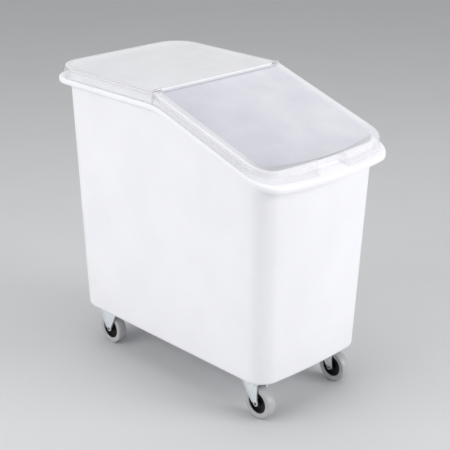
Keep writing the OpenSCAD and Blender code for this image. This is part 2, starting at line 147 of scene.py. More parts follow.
# Hinge between the two halves of the lid
HINGE_RISE = 0.0015
COVER_HINGE_GAP = 0.0015
FLAP_HINGE_GAP = 0.0005
HINGE_Y = -0.009
HINGE_Z = COVER_Z + HINGE_RISE
COVER_FRONT = HINGE_Y + COVER_HINGE_GAP
FLAP_REAR = HINGE_Y - FLAP_HINGE_GAP
EDGE_LIP_H = 0.006
EDGE_CORNER = 0.003
KNUCKLE_R = 0.0038
KNUCKLE_WEB = 0.0091
KNUCKLE_EDGE_R = 0.0006
COVER_KNUCKLE_L = 0.008
FLAP_KNUCKLE_L = 0.011
KNUCKLE_INSET = 0.006
KNUCKLE_GAP = 0.0006
HINGE_BORE_R = 0.00205
FLAP_KNUCKLE_X = LID_HALF_W - KNUCKLE_INSET - FLAP_KNUCKLE_L
COVER_KNUCKLE_X = FLAP_KNUCKLE_X - KNUCKLE_GAP - COVER_KNUCKLE_L

# Finger notch in the front of the flap
NOTCH_HALF_W = 0.047
NOTCH_R = 0.010
NOTCH_GAP = 0.0012
NOTCH_LIFT = 0.009
NECK_FRONT_Z = RIM_Z - (LID_FRONT + RIM_BREAK_Y) * FALL + NECK_FRONT_H
NECK_FRONT_SHARE = (NECK_FRONT_Z - TUB_FLOOR_Z) / (RIM_Z - TUB_FLOOR_Z)
NECK_FRONT = TUB_FOOT["front"] + (TUB_TOP["front"] - TUB_FOOT["front"]) * NECK_FRONT_SHARE + TUB_BOW
NOTCH_BACK = -NECK_FRONT - NOTCH_GAP - LID_T

# Casters
PLATE_W, PLATE_L, SHEET_T = extent("front_left_top_plate")
SHEET_EDGE_R = 0.0007
PLATE_CORNER_R = 0.005
CROWN_R = 0.025
FORK_TOP = 0.025
FLANGE_W = 0.002
FLANGE_H = 0.002
EYE_R = 0.0066

# Wheels
WHEEL_R = extent("front_left_tyre").z / 2
TYRE_W = extent("front_left_tyre").x
TYRE_CROWN = 0.002
TYRE_SHOULDER_R = 0.003
TREAD_SHARES = (-0.6, -0.3, 0, 0.3, 0.6)
HUB_R = extent("front_left_hub").z / 2
HUB_W = extent("front_left_hub").x
HUB_CLEARANCE = 0.0003
LEG_GAP = HUB_W / 2 + HUB_CLEARANCE
HUB_BORE_R = 0.00505
HUB_BOSS_R = 0.0085
HUB_FELLOE_R = 0.0218
HUB_FELLOE_W = 0.022
HUB_WEB_T = 0.008
HUB_EDGE_R = 0.0008

# Steps of the round stretches and limits of the mesh work
CORNER_STEPS = 14
BOW_STEPS = 28
NOTCH_BOW_STEPS = 12
REAR_STEPS = 6
EDGE_STEPS = 5
SMALL_EDGE_STEPS = 3
PLATE_EDGE_STEPS = 2
PLATE_CORNER_STEPS = 6
SHOULDER_STEPS = 5
EYE_STEPS = 16
TURN_STEPS = 72
EASE_REACH_SHARE = 0.45
WALL_PASSES = 2
SHARP_ANGLE = math.radians(35)
MERGE_DIST = 1e-6

# Places of the points along a side, closest together round the fold of the rim
FOLD_START_Y = 0.018
FOLD_STEP = 0.006
FOLD_POINTS = 13
SIDE_REAR_Y = [0.262, 0.200, 0.140, 0.090, 0.055, 0.030]
SIDE_FOLD_Y = [FOLD_START_Y - FOLD_STEP * i for i in range(FOLD_POINTS)]
SIDE_FRONT_Y = [-0.075, -0.110, -0.160, -0.215, -0.262]
SIDE_Y = SIDE_REAR_Y + SIDE_FOLD_Y + SIDE_FRONT_Y

# Floor, lamps and camera
FLOOR_HALF = 20.0
WORLD_STRENGTH = 0.55
LAMP_AIM = Vector((0, 0, 0.35))
CAMERA_SENSOR_W = 36.0
CAMERA_LENS = 93.64
CAMERA_EYE = Vector((-1.8432, -1.9410, 1.4172))
CAMERA_AIM = Vector((0.0195, -0.0088, 0.3627))


class Shade:
    """A shader socket for Python expressions: operators add Math nodes, and add() makes any other node."""

    def __init__(self, tree, socket=None):
        self.tree = tree
        self.socket = socket

    def add(self, kind, settings=None, inputs=None, output=0):
        node = self.tree.nodes.new(kind)
        for name, value in (settings or {}).items():
            setattr(node, name, value)
        for key, value in (inputs or {}).items():
            if isinstance(value, Shade):
                self.tree.links.new(value.socket, node.inputs[key])
            else:
                node.inputs[key].default_value = value
        return Shade(self.tree, node.outputs[output])

    def _math(self, operation, first, second):
        return self.add("ShaderNodeMath", {"operation": operation}, {0: first, 1: second})

    def __add__(self, other):
        return self._math("ADD", self, other)

    def __mul__(self, other):
        return self._math("MULTIPLY", self, other)

    def __sub__(self, other):
        return self._math("SUBTRACT", self, other)

    def __rsub__(self, other):
        return self._math("SUBTRACT", other, self)

    __radd__ = __add__
    __rmul__ = __mul__

    def between(self, low, high):
        """The value mapped from low..high to 0..1 and held there."""
        span = {"Value": self, "From Min": low, "From Max": high}
        return self.add("ShaderNodeMapRange", {"clamp": True}, span)

    def blend(self, first, second):
        """A colour that goes from first to second as this value goes from 0 to 1."""
        return self.add("ShaderNodeMix", {"data_type": "RGBA"}, {0: self, 6: first, 7: second}, output=2)


def rgb(red, green, blue):
    """An opaque colour."""
    return (red, green, blue, 1.0)


def new_material(name, **constants):
    """A material with one Principled shader, its constants set on the shader's own sockets."""
    material = bpy.data.materials.new(name)
    material.use_nodes = True
    shader = material.node_tree.nodes["Principled BSDF"]
    for key, value in constants.items():
        shader.inputs[key.replace("_", " ")].default_value = value
    sheet = Shade(material.node_tree)
    place = sheet.add("ShaderNodeTexCoord", output="Object")

    def feed(**links):
        for key, value in links.items():
            material.node_tree.links.new(value.socket, shader.inputs[key.replace("_", " ")])

    return material, sheet, place, feed


def noise(sheet, place, scale, detail=3.0):
    """Cloudy noise over a piece's own space."""
    return sheet.add("ShaderNodeTexNoise", None, {"Vector": place, "Scale": scale, "Detail": detail})


def bump(sheet, height, strength, distance):
    """Fine relief for a shader's normal."""
    return sheet.add("ShaderNodeBump", None, {"Height": height, "Strength": strength, "Distance": distance})


def make_tub_white():
    """Satin polyethylene: cool white, softly mottled, with a fine moulded skin."""
    material, sheet, place, feed = new_material("tub_white", Specular_IOR_Level=0.35)
    mottle = noise(sheet, place, 9.0, 4.0).between(0.35, 0.65)
    grain = noise(sheet, place, 900.0, 2.0)
    ripple = noise(sheet, place, 26.0, 2.0)
    feed(
        Base_Color=mottle.blend(rgb(0.875, 0.872, 0.905), rgb(0.900, 0.897, 0.925)),
        Roughness=0.40 + 0.10 * mottle,
        Normal=bump(sheet, grain + 6.0 * ripple, 0.10, 0.0004),
    )
    return material


def make_clear_plastic(name, pale_tint, painted_shade_tint, window_cover):
    """Clear polycarbonate with a tinted hazy window, darker to the left as a painted shade of the tub's
    inside, with painted highlights on its edges and skirt and painted shade in its creases.

    Its skirt is clearest at the front of the bin.
    """
    material, sheet, place, feed = new_material(name, IOR=1.5)
    haze = noise(sheet, place, 14.0, 3.0).between(0.3, 0.7)
    ripple = noise(sheet, place, 30.0, 1.0)
    edge = sheet.add("ShaderNodeAttribute", {"attribute_name": "edge"}, output="Fac")
    window = sheet.add("ShaderNodeAttribute", {"attribute_name": "window"}, output="Fac")
    x, y = (sheet.add("ShaderNodeSeparateXYZ", None, {0: place}, output=axis) for axis in "XY")
    # across runs from 0 at the left, where a window's tint takes the painted shade, to 1 where that painted
    # shade is gone
    across, ahead = x.between(PAINTED_SHADE_DEEP_X, PAINTED_SHADE_END_X), y.between(FRONT_FADE_Y, FRONT_CLEAR_Y)
    # The edge attribute gives a painted highlight above 0 and a painted shade below 0; both weaken towards
    # the front
    painted_highlight, painted_shade = edge.between(0, 1), edge.between(0, -1) * (1 - 0.4 * ahead)
    body = haze.blend(rgb(0.90, 0.90, 0.93), rgb(0.94, 0.94, 0.96))
    panel = window.blend(body, (0.3 * haze + 0.7 * across).blend(painted_shade_tint, pale_tint))
    bare = 0.13 + 0.03 * haze - 0.06 * ahead
    feed(
        # A painted highlight turns the colour near-white and a painted shade turns it dark; both also make
        # the plastic less clear
        Base_Color=painted_shade.blend(painted_highlight.blend(panel, rgb(0.95, 0.95, 0.96)), rgb(0.30, 0.31, 0.34)),
        Roughness=0.10 + 0.06 * haze + 0.24 * window,
        Alpha=bare + window_cover * window + (0.40 - 0.24 * ahead) * painted_highlight + 0.45 * painted_shade,
        Normal=bump(sheet, ripple, 0.06, 0.0006),
    )
    return material


def make_zinc():
    """Bright zinc plate on pressed steel, with a faint spangle."""
    material, sheet, place, feed = new_material("zinc_plate", Metallic=0.55)
    spangle = sheet.add("ShaderNodeTexVoronoi", None, {"Vector": place, "Scale": 260.0}, output="Color")
    grain = sheet.add("ShaderNodeSeparateColor", None, {0: spangle})
    cloud = noise(sheet, place, 60.0, 4.0)
    tone = (0.5 * grain + 0.5 * cloud).between(0.15, 0.85)
    feed(
        Base_Color=tone.blend(rgb(0.76, 0.80, 0.82), rgb(0.88, 0.91, 0.93)),
        Roughness=0.30 + 0.16 * tone,
        Normal=bump(sheet, cloud, 0.08, 0.0003),
    )
    return material


def make_steel(name, pale, deep):
    """Turned and rolled steel for pins, bolts and nuts."""
    material, sheet, place, feed = new_material(name, Metallic=1.0)
    grain = noise(sheet, place, 420.0, 3.0)
    feed(
        Base_Color=grain.blend(deep, pale),
        Roughness=0.24 + 0.14 * grain,
        Normal=bump(sheet, grain, 0.06, 0.0002),
    )
    return material


def make_hub_black():
    """Black moulded plastic with a fine grain."""
    material, sheet, place, feed = new_material("hub_black", Specular_IOR_Level=0.25)
    grain = noise(sheet, place, 700.0, 3.0)
    dust = noise(sheet, place, 40.0, 3.0).between(0.45, 0.75)
    feed(
        Base_Color=dust.blend(rgb(0.004, 0.004, 0.0045), rgb(0.012, 0.012, 0.013)),
        Roughness=0.42 + 0.14 * grain,
        Normal=bump(sheet, grain, 0.12, 0.0003),
    )
    return material


def make_tyre_grey():
    """Grey non-marking rubber with a dusty tread."""
    material, sheet, place, feed = new_material("tyre_grey", Specular_IOR_Level=0.35)
    grain = noise(sheet, place, 500.0, 4.0)
    cloud = noise(sheet, place, 34.0, 4.0).between(0.3, 0.7)
    feed(
        Base_Color=cloud.blend(rgb(0.42, 0.42, 0.43), rgb(0.48, 0.48, 0.49)),
        Roughness=0.24 + 0.12 * grain,
        Normal=bump(sheet, grain, 0.15, 0.0003),
    )
    return material


def make_seal_rubber():
    """Dark sealing rubber."""
    material, sheet, place, feed = new_material("seal_rubber", Specular_IOR_Level=0.3)
    grain = noise(sheet, place, 600.0, 3.0)
    feed(
        Base_Color=grain.blend(rgb(0.03, 0.03, 0.03), rgb(0.06, 0.06, 0.06)),
        Roughness=0.60 + 0.15 * grain,
        Normal=bump(sheet, grain, 0.10, 0.0002),
    )
    return material


MATERIALS = {
    "tub_plastic": make_tub_white(),
    # Each clear plastic has its window's own tint, then that tint darkened as a painted shade of the tub's
    # inside
    "clear_cover": make_clear_plastic(
        "clear_cover", rgb(0.95, 0.95, 0.965), rgb(0.91, 0.91, 0.93), window_cover=0.64),
    "clear_flap": make_clear_plastic(
        "clear_flap", rgb(0.90, 0.905, 0.955), rgb(0.74, 0.745, 0.84), window_cover=0.56),
    "zinc_steel": make_zinc(),
    "bright_steel": make_steel("bright_steel", rgb(0.74, 0.75, 0.77), rgb(0.60, 0.61, 0.63)),
    # Darkened steel for the axle bolts: a painted shade standing in for the shadow their ends sit in
    "shade_darkened_steel": make_steel("shade_darkened_steel", rgb(0.24, 0.245, 0.26), rgb(0.14, 0.145, 0.16)),
    "hub_plastic": make_hub_black(),
    "tyre_rubber": make_tyre_grey(),
    "seal_rubber": make_seal_rubber(),
}


def add_piece(mesh, name, slot, body, *nodes, finish=None):
    """Turns a bmesh into a piece with its material, riding on a body and standing for CAD nodes."""
    bmesh.ops.remove_doubles(mesh, verts=mesh.verts, dist=MERGE_DIST)
    bmesh.ops.dissolve_degenerate(mesh, edges=mesh.edges, dist=MERGE_DIST)
    bmesh.ops.recalc_face_normals(mesh, faces=mesh.faces)
    data = bpy.data.meshes.new(name)
    mesh.to_mesh(data)
    mesh.free()
    data.polygons.foreach_set("use_smooth", [True] * len(data.polygons))
    data.set_sharp_from_angle(angle=SHARP_ANGLE)
    data.materials.append(MATERIALS[finish or slot])
    piece = bpy.data.objects.new(name, data)
    bpy.context.scene.collection.objects.link(piece)
    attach(piece, body)
    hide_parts(*nodes)


def add_skin(mesh, rings, loop=False, marks=None):
    """Faces between closed rings of equal length, with flat caps or a last span back to the first ring.

    Marks give each point its values of the attributes that the clear plastic reads.
    """
    marks = marks or {}
    layers = {name: mesh.verts.layers.float.new(name) for name in marks}
    rows = [[mesh.verts.new(p) for p in ring] for ring in rings]
    for name, layer in layers.items():
        for row, values in zip(rows, marks[name]):
            for vert, value in zip(row, values):
                vert[layer] = value
    count = len(rows[0])
    for lower, upper in zip(rows, rows[1:] + rows[:1] if loop else rows[1:]):
        for i in range(count):
            j = (i + 1) % count
            mesh.faces.new((lower[i], lower[j], upper[j], upper[i]))
    if not loop:
        mesh.faces.new(list(reversed(rows[0])))
        mesh.faces.new(rows[-1])


def add_turned(mesh, profile, place):
    """A turned piece with a bore: a closed profile of (radius, height) points spun about its own axis."""
    turns = [2 * math.pi * i / TURN_STEPS for i in range(TURN_STEPS)]
    rings = [[place @ Vector((r * math.cos(t), r * math.sin(t), h)) for t in turns] for r, h in profile]
    add_skin(mesh, rings, loop=True)


def add_plate(mesh, outline, thickness, edge_r, place):
    """A flat plate with eased edges, drawn in its own plane and set in place by a matrix."""
    plate = bmesh.new()
    face = plate.faces.new([plate.verts.new((x, y, 0)) for x, y in outline])
    made = bmesh.ops.extrude_face_region(plate, geom=[face])
    top = [v for v in made["geom"] if isinstance(v, bmesh.types.BMVert)]
    bmesh.ops.translate(plate, verts=top, vec=(0, 0, thickness))
    edges = [e for e in plate.edges if abs(e.verts[0].co.z - e.verts[1].co.z) < thickness / 2]
    bmesh.ops.bevel(plate, geom=edges, offset=edge_r, segments=PLATE_EDGE_STEPS, profile=0.5,
                    affect="EDGES")
    bmesh.ops.transform(plate, matrix=place, verts=plate.verts)
    data = bpy.data.meshes.new("plate")
    plate.to_mesh(data)
    plate.free()
    mesh.from_mesh(data)
    bpy.data.meshes.remove(data)


def upright(x, y=0):
    """Matrix that stands an outline drawn in (y, z) upright, with its thickness along x."""
    return Matrix(((0, 0, 1, x), (1, 0, 0, y), (0, 1, 0, 0), (0, 0, 0, 1)))


def eased(points, r, steps=SMALL_EDGE_STEPS):
    """A closed outline with each corner rounded by up to r."""
    out = []
    for i, p in enumerate(points):
        p, before, after = Vector(p), Vector(points[i - 1]), Vector(points[(i + 1) % len(points)])
        a, b = before - p, after - p
        half = a.angle(b) / 2
        reach = min(r / math.tan(half), EASE_REACH_SHARE * a.length, EASE_REACH_SHARE * b.length)
        start, end = p + a.normalized() * reach, p + b.normalized() * reach
        for k in range(steps + 1):
            t = k / steps
            out.append(tuple((1 - t) ** 2 * start + 2 * t * (1 - t) * p + t ** 2 * end))
    return out


def arc(centre, r, start, end, steps):
    """Points of a plan arc, angles in degrees."""
    turns = [math.radians(start + (end - start) * i / steps) for i in range(steps + 1)]
    return [(centre[0] + r * math.cos(a), centre[1] + r * math.sin(a)) for a in turns]


def bow_shape(half_w, front, bow, front_r):
    """Radius and centre of the bowed front, centre of its corner and the corner's turn in degrees."""
    bow_r = (half_w ** 2 + bow ** 2) / (2 * bow)
    bow_y = bow_r - front - bow
    corner_x = half_w - front_r
    corner_y = bow_y - math.sqrt((bow_r - front_r) ** 2 - corner_x ** 2)
    turn = math.degrees(math.atan2(bow_y - corner_y, corner_x))
    return bow_r, bow_y, corner_x, corner_y, turn


def rear_run(half_w, rear, rear_r):
    """Plan points round the rear, from the right corner to the left one."""
    cx, cy = half_w - rear_r, rear - rear_r
    right = arc((cx, cy), rear_r, 0, 90, CORNER_STEPS)
    straight = [(cx - 2 * cx * i / REAR_STEPS, rear) for i in range(1, REAR_STEPS)]
    left = arc((-cx, cy), rear_r, 90, 180, CORNER_STEPS)
    return right + straight + left


def front_run(half_w, front, bow, front_r):
    """Plan points round the bowed front, from the left corner to the right one."""
    bow_r, bow_y, cx, cy, turn = bow_shape(half_w, front, bow, front_r)
    return (arc((-cx, cy), front_r, 180, 180 + turn, CORNER_STEPS)
            + arc((0, bow_y), bow_r, 180 + turn, 360 - turn, BOW_STEPS)[1:-1]
            + arc((cx, cy), front_r, 360 - turn, 360, CORNER_STEPS))


def plan(half_w, rear, front, bow, rear_r, front_r):
    """Plan outline of the bin: straight rear and sides, bowed front, four round corners."""
    left = [(-half_w, y) for y in SIDE_Y]
    right = [(half_w, y) for y in reversed(SIDE_Y)]
    return rear_run(half_w, rear, rear_r) + left + front_run(half_w, front, bow, front_r) + right


def rim_height(y):
    """Height of the rim's top face: level behind, sloping in front, with a rounded fold."""
    tangent = RIM_FOLD_R * math.tan(SLOPE / 2)
    start = RIM_BREAK_Y + tangent
    end = RIM_BREAK_Y - tangent * math.cos(SLOPE)
    if y >= start:
        return RIM_Z
    if y <= end:
        return slope_height(y)
    return RIM_Z - RIM_FOLD_R + math.sqrt(RIM_FOLD_R ** 2 - (start - y) ** 2)


def slope_height(y):
    """Height of the sloping half of the rim, carried on past the fold."""
    return RIM_Z + (y - RIM_BREAK_Y) * FALL


def neck_height(y):
    """Height of the neck's top edge under the lid."""
    return min(RIM_Z + NECK_REAR_H, slope_height(y) + NECK_FRONT_H)


def wall_plan(z, inset):
    """Plan outline of the tub's wall at a height, drawn in by an inset."""
    share = (z - TUB_FLOOR_Z) / (RIM_Z - TUB_FLOOR_Z)
    sizes = {key: TUB_FOOT[key] + (TUB_TOP[key] - TUB_FOOT[key]) * share - inset for key in TUB_TOP}
    corner_r = TUB_CORNER_R - inset
    return plan(sizes["half_w"], sizes["rear"], sizes["front"], TUB_BOW, corner_r, corner_r)


def wall_ring(height, inset):
    """Ring on the tub's wall at a height that may change along the bin, settled in a few passes."""
    ring = [(x, y, height(y)) for x, y in wall_plan(RIM_Z, inset)]
    for _ in range(WALL_PASSES):
        ring = [(*wall_plan(p[2], inset)[i], height(p[1])) for i, p in enumerate(ring)]
    return ring


def shifted(height, rise):
    """A height along the bin, raised by an amount."""
    return lambda y: height(y) + rise


def level(z):
    """The same height all along the bin."""
    return lambda y: z


def up_wall(share):
    """Height that is a share of the way from the tub's floor to its rim."""
    return lambda y: TUB_FLOOR_Z + share * (rim_height(y) - TUB_FLOOR_Z)


def rim_ring(inset, drop):
    """Ring on the rim, drawn in from its edge and below its top face."""
    outline = plan(RIM_HALF_W - inset, RIM_REAR - inset, RIM_FRONT - inset, RIM_BOW,
                   RIM_REAR_R - inset, RIM_FRONT_R - inset)
    return [(x, y, rim_height(y) - drop) for x, y in outline]


def quarter_round(r, steps=EDGE_STEPS):
    """Insets and drops of an outer edge, from its flat top to its upright side."""
    turns = [math.pi / 2 * i / steps for i in range(steps + 1)]
    return [(r * (1 - math.sin(t)), r * (1 - math.cos(t))) for t in turns]


def make_tub():
    """The tub as one skin: underside, wall, rim, neck, inner wall and inner floor."""
    rings = [wall_ring(level(TUB_FLOOR_Z + drop), inset) for inset, drop in quarter_round(TUB_EDGE_R)]
    rings += [wall_ring(up_wall(share), 0) for share in WALL_SHARES]
    root = quarter_round(RIM_ROOT_R)
    rings += [wall_ring(shifted(rim_height, -RIM_T - inset), -drop) for inset, drop in root]
    rings += [rim_ring(RIM_T + RIM_ROOT_R, RIM_T), rim_ring(RIM_T, RIM_T + RIM_ROOT_R)]
    lip = quarter_round(RIM_T / 2, SMALL_EDGE_STEPS)
    rings += [rim_ring(RIM_T - inset, RIM_H - drop) for inset, drop in reversed(lip)]
    rings += [rim_ring(inset, RIM_H - drop) for inset, drop in lip]
    rings += [rim_ring(inset, drop) for inset, drop in reversed(quarter_round(RIM_NOSE_R))]
    rings += [wall_ring(shifted(rim_height, inset), -drop) for inset, drop in reversed(root)]
    edge = quarter_round(NECK_EDGE_R, SMALL_EDGE_STEPS)
    rings += [wall_ring(shifted(neck_height, -drop), inset) for inset, drop in reversed(edge)]
    rings += [wall_ring(shifted(neck_height, -drop), TUB_WALL - inset) for inset, drop in edge]
    rings += [wall_ring(up_wall(share), TUB_WALL) for share in INNER_WALL_SHARES]
    inner_z = TUB_FLOOR_Z + TUB_FLOOR_T
    rings += [wall_ring(level(inner_z + drop), TUB_WALL + inset)
              for inset, drop in reversed(quarter_round(TUB_EDGE_R - TUB_WALL))]
    mesh = bmesh.new()
    add_skin(mesh, rings)
    add_piece(mesh, "tub_moulding", "tub_plastic", "tub", "tub", "tub_floor")


# One ring of a lid half: growth of its walls, height along the bin, how far its notch and hinge edge
# are drawn in, its painted light (painted highlight above 0, painted shade below), its haze, and whether it
# lies on the window
LidRow = namedtuple("LidRow", "grow height inset mark haze window", defaults=(0, 0, False))


def hinge_edge_x(grow):
    """Half the width of the straight edge beside the hinge."""
    return LID_HALF_W - LID_T - EDGE_CORNER + min(0, grow + LID_T)


def cover_ring(row):
    """Ring of the rear cover: its three walls, then its straight front edge with a lip."""
    half_w, front = LID_HALF_W + row.grow, COVER_FRONT + row.inset
    side = [y for y in SIDE_Y if y > COVER_FRONT + FOLD_STEP / 2] + [COVER_FRONT]
    if row.window:
        side = [max(y, front) for y in side]
    walls = ([(half_w, y) for y in reversed(side)]
             + rear_run(half_w, LID_REAR + row.grow, LID_REAR_R + row.grow) + [(-half_w, y) for y in side])
    edge_x = hinge_edge_x(row.grow)
    edge = [(-edge_x + 2 * edge_x * i / REAR_STEPS, front) for i in range(REAR_STEPS + 1)]
    lip = COVER_Z - LID_T - EDGE_LIP_H
    return [(x, y, row.height(y)) for x, y in walls] + [(x, y, max(row.height(y), lip)) for x, y in edge]


def with_mirror(left, back):
    """A run on the left, three points across the middle at its end, and the run's mirror image."""
    end_x, end_y = left[-1]
    return left, [(end_x, end_y), (0, back), (-end_x, end_y)], [(-x, y) for x, y in reversed(left)]


def notched_front(row):
    """Plan points round the flap's front: up to its finger notch, along its back, and on to the right."""
    front = LID_FRONT + row.grow
    bow_r, bow_y, cx, cy, turn = bow_shape(LID_HALF_W + row.grow, front, LID_BOW, LID_FRONT_R + row.grow)
    half, back, r = NOTCH_HALF_W + row.inset, NOTCH_BACK + row.inset, NOTCH_R + row.inset
    mouth = 180 + math.degrees(math.acos(half / bow_r))
    left = (arc((-cx, cy), LID_FRONT_R + row.grow, 180, 180 + turn, CORNER_STEPS)
            + arc((0, bow_y), bow_r, 180 + turn, mouth, NOTCH_BOW_STEPS)[1:]
            + arc((r - half, back - r), r, 180, 90, EDGE_STEPS))
    return with_mirror(left, back)


def window_front(row):
    """Plan points round the front of the flap's window, one for each point of the notched front."""
    half_w, front_r = LID_HALF_W + row.grow, LID_FRONT_R + row.grow
    front = LID_FRONT + row.grow - FLAP_WINDOW_FRONT_IN + FLAP_WINDOW_IN
    bow_r, bow_y, cx, cy, turn = bow_shape(half_w, front, LID_BOW, front_r)
    mouth = 180 + math.degrees(math.acos(NOTCH_HALF_W / bow_r))
    notch_x = [-NOTCH_HALF_W + NOTCH_R * i / EDGE_STEPS for i in range(EDGE_STEPS + 1)]
    left = (arc((-cx, cy), front_r, 180, 180 + turn, CORNER_STEPS)
            + arc((0, bow_y), bow_r, 180 + turn, mouth, NOTCH_BOW_STEPS)[1:]
            + [(x, bow_y - math.sqrt(bow_r ** 2 - x ** 2)) for x in notch_x])
    return with_mirror(left, bow_y - bow_r)


def flap_ring(row):
    """Ring of the front flap: its sides and notched front, then its straight rear edge with a lip."""
    half_w, rear = LID_HALF_W + row.grow, FLAP_REAR - row.inset
    side = [FLAP_REAR] + [y for y in SIDE_Y if y < FLAP_REAR - FOLD_STEP / 2]
    if row.window:
        side = [min(y, rear) for y in side]
    left, back, right = window_front(row) if row.window else notched_front(row)
    left = [(-half_w, y) for y in side] + left
    right = right + [(half_w, y) for y in reversed(side)]
    edge_x = hinge_edge_x(row.grow)
    edge = [(edge_x - 2 * edge_x * i / REAR_STEPS, rear) for i in range(REAR_STEPS + 1)]
    lip = slope_height(FLAP_REAR) + FLAP_H - SLANT_T - EDGE_LIP_H
    return ([(x, y, row.height(y)) for x, y in left]
            + [(x, y, max(row.height(y), slope_height(y) + NOTCH_LIFT)) for x, y in back]
            + [(x, y, row.height(y)) for x, y in right]
            + [(x, y, max(row.height(y), lip)) for x, y in edge])


def window_rows(top, window_in, hinge_in):
    """Rows on the edge of a lid half's window, from inside its painted shade line to the border, which
    takes a painted highlight.
    """
    low = shifted(top, -WINDOW_STEP)
    steps = [(2, low, 0, 1), (1, low, WINDOW_SHADE, 1), (0, top, WINDOW_SHADE, BORDER_HAZE),
             (-1, top, BORDER_HIGHLIGHT, BORDER_HAZE)]
    return [LidRow(-window_in - k * WINDOW_LINE, height, hinge_in + k * HINGE_LINE, mark, haze, True)
            for k, height, mark, haze in steps]


def lid_rows(top, band, bottom, window_in, hinge_in):
    """Rows of a lid half, from its window over the top edge and down the skirt, then back up inside."""
    under = shifted(band, -LID_T)
    top_edge = zip(quarter_round(LID_EDGE_R), TOP_EDGE_HIGHLIGHTS, TOP_EDGE_HAZE)
    band_edge = zip(quarter_round(BAND_EDGE_R, SMALL_EDGE_STEPS), BAND_EDGE_HIGHLIGHTS)
    return [
        *window_rows(top, window_in, hinge_in),
        *(LidRow(-inset, shifted(top, -drop), inset, mark, haze) for (inset, drop), mark, haze in top_edge),
        # The skirt takes a weaker painted highlight, with a painted shade line in the band's crease and a
        # soft painted shade band along its foot
        LidRow(0, shifted(band, BAND_EDGE_R + EDGE_LINE), 0, SKIRT_HIGHLIGHT),
        LidRow(0, shifted(band, BAND_EDGE_R), 0, CREASE_SHADE),
        LidRow(BAND_EDGE_R, band, 0),
        *(LidRow(BAND_STEP - inset, shifted(band, -drop), 0, mark) for (inset, drop), mark in band_edge),
        LidRow(BAND_STEP, shifted(bottom, FOOT_LINE), 0, SKIRT_HIGHLIGHT),
        LidRow(BAND_STEP, shifted(bottom, FOOT_LINE / 2), 0, FOOT_SHADE),
        LidRow(BAND_STEP, bottom, 0, FOOT_SHADE),
        LidRow(BAND_STEP - LID_T, bottom, LID_T),
        LidRow(BAND_STEP - LID_T, under, LID_T),
        LidRow(-LID_T, under, LID_T),
        LidRow(-LID_T, shifted(top, -LID_T), LID_T),
    ]


def lid_marks(rows, ring_size, hinge_line_shade):
    """Painted highlights, painted shade and haze of a lid's rings, whose last points lie on the straight
    edge beside the hinge.
    """
    hinge = REAR_STEPS + 1
    edge, window = [], []
    for row in rows:
        # Beside the hinge the lid takes a painted highlight, and a window's shaded rows take the given
        # hinge painted shade instead
        beside = HINGE_HIGHLIGHT
        if row.window:
            beside = hinge_line_shade if row.mark < 0 else 0
        edge.append([row.mark] * (ring_size - hinge) + [beside] * hinge)
        window.append([row.haze] * (ring_size - hinge) + [1] * hinge)
    return {"edge": edge, "window": window}


def add_knuckles(mesh, x, length, web):
    """Hinge knuckles on both sides of the lid, each a bored barrel on a web."""
    profile = [(KNUCKLE_R, 0), (KNUCKLE_R, length), (HINGE_BORE_R, length), (HINGE_BORE_R, 0)]
    barrel = eased(profile, KNUCKLE_EDGE_R)
    for start in (x, -x - length):
        along = Matrix.Translation((start, HINGE_Y, HINGE_Z)) @ Matrix.Rotation(math.pi / 2, 4, "Y")
        add_turned(mesh, barrel, along)
        add_plate(mesh, web, length, KNUCKLE_EDGE_R, upright(start))


def make_rear_cover():
    """The level rear half of the lid."""
    rows = lid_rows(level(COVER_Z), level(RIM_Z + COVER_BAND_H), shifted(rim_height, LID_SEAT),
                    COVER_WINDOW_IN, COVER_WINDOW_HINGE_IN)
    rings = [cover_ring(row) for row in rows]
    mesh = bmesh.new()
    add_skin(mesh, rings, marks=lid_marks(rows, len(rings[0]), 0))
    low, web_y = COVER_Z - LID_T, HINGE_Y + KNUCKLE_WEB
    web = [(COVER_FRONT, low), (web_y, low), (web_y, COVER_Z),
           (HINGE_Y + KNUCKLE_R, HINGE_Z), (COVER_FRONT, HINGE_Z)]
    add_knuckles(mesh, COVER_KNUCKLE_X, COVER_KNUCKLE_L, web)
    add_piece(mesh, "rear_cover_shell", "clear_plastic", "rear_cover", "rear_cover", finish="clear_cover")


def make_front_flap():
    """The sloping front half of the lid, with its finger notch."""
    rows = lid_rows(shifted(slope_height, FLAP_H), shifted(slope_height, FLAP_BAND_H),
                    shifted(rim_height, LID_SEAT), FLAP_WINDOW_IN, FLAP_WINDOW_HINGE_IN)
    rings = [flap_ring(row) for row in rows]
    mesh = bmesh.new()
    add_skin(mesh, rings, marks=lid_marks(rows, len(rings[0]), FLAP_HINGE_SHADE))
    web_y = HINGE_Y - KNUCKLE_WEB
    top, rear_top = slope_height(web_y) + FLAP_H, slope_height(FLAP_REAR) + FLAP_H
    web = [(web_y, top - SLANT_T), (FLAP_REAR, rear_top - SLANT_T), (FLAP_REAR, HINGE_Z),
           (HINGE_Y - KNUCKLE_R, HINGE_Z), (web_y, top)]
    add_knuckles(mesh, FLAP_KNUCKLE_X, FLAP_KNUCKLE_L, web)
    add_piece(mesh, "front_flap_shell", "clear_plastic", "front_flap", "front_flap", finish="clear_flap")


def middle(node):
    """Middle of a CAD node's box."""
    low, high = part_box(node)
    return (low + high) / 2


def leg_outline(top_half, top_z, eye):
    """Side outline of a fork leg, in (y, z) about the plate's middle: straight edges that touch the eye."""
    corner = {side: Vector((side * top_half, top_z)) - Vector(eye) for side in (-1, 1)}
    lean = {side: math.degrees(math.atan2(c.y, c.x)) for side, c in corner.items()}
    open_by = {side: math.degrees(math.acos(EYE_R / c.length)) for side, c in corner.items()}
    eye_arc = arc(eye, EYE_R, lean[-1] + open_by[-1], lean[1] - open_by[1] + 360, EYE_STEPS)
    return [(top_half, top_z), (-top_half, top_z)] + eye_arc


